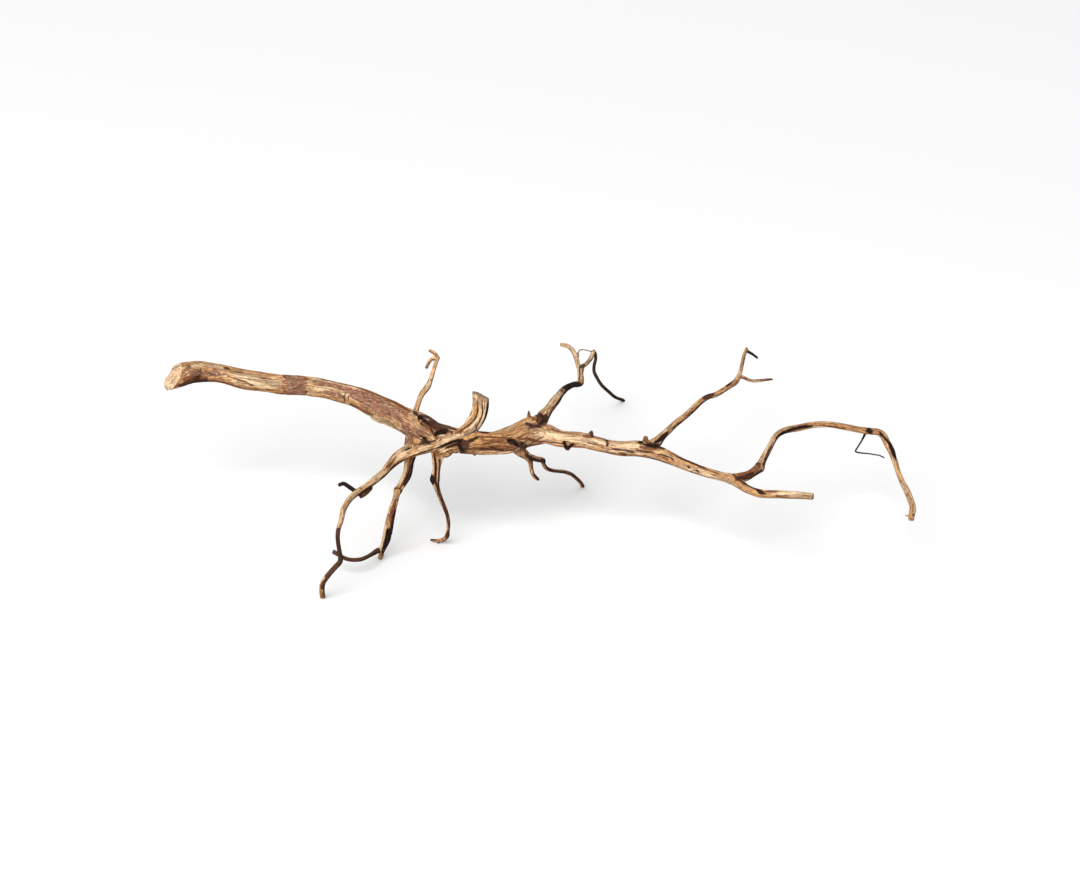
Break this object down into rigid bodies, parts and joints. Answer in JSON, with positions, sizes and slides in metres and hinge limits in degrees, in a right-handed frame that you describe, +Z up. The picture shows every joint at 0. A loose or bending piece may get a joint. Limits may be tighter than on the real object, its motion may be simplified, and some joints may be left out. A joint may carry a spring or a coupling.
{
  "type": "snake_wood",
  "caption": "Bare weathered branch with a sawn trunk end, a knotty junction, thin roots it stands on, side twigs and an arched branch",
  "frame": {"origin": "middle of the footprint, on the floor that the roots stand on", "axes": "+X along the trunk towards the arched branch, +Y to the back, +Z up"},
  "size_m": [0.7504, 0.4192, 0.1754],
  "materials": {
    "bare_wood": "matte"
  },
  "bodies": {
    "root": {"snake_wood": "bare_wood"}
  },
  "joints": []
}
